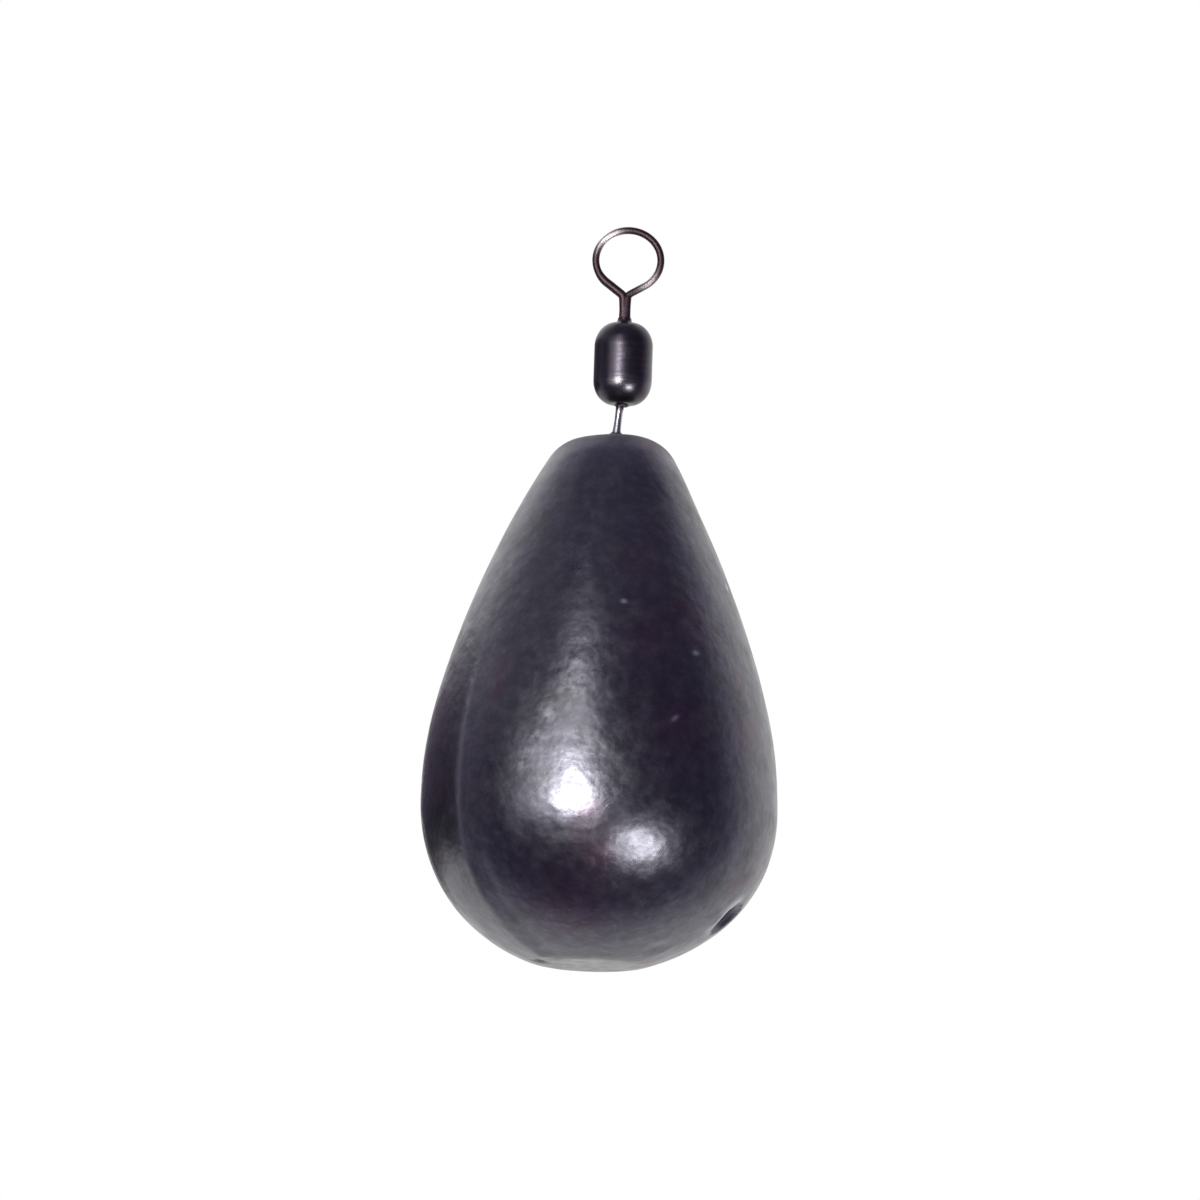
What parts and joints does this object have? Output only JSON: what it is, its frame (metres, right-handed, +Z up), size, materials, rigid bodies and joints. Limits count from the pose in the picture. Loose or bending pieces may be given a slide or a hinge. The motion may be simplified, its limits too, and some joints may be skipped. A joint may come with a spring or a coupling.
{
  "type": "fishing sinker",
  "caption": "Pear-shaped cast lead sinker with a barrel swivel: a ring eye for the line, a spinning barrel and a lower eye cast into the nose.",
  "frame": {"origin": "centre of the flat base, on the body's axis", "axes": "+Z up the body's axis, from the base to the ring; -Y is the front that the picture shows, and +X is to its right"},
  "size_m": [0.0218, 0.0218, 0.046],
  "materials": {
    "cast_lead": "satin",
    "barrel_metal": "gloss",
    "eye_wire": "gloss"
  },
  "bodies": {
    "sinker": {"lead_body": "cast_lead", "lower_eye": "eye_wire"},
    "barrel": {"swivel_barrel": "barrel_metal"},
    "line_ring": {"upper_eye": "eye_wire"}
  },
  "joints": [
    {"name": "barrel_spin", "type": "hinge", "parent": "sinker", "child": "barrel", "pos_m": [0.0006, 0, 0.03485], "axis": [0, 0, 1], "continuous": true},
    {"name": "eye_spin", "type": "hinge", "parent": "barrel", "child": "line_ring", "pos_m": [0.0006, 0, 0.03995], "axis": [0, 0, 1], "continuous": true}
  ]
}
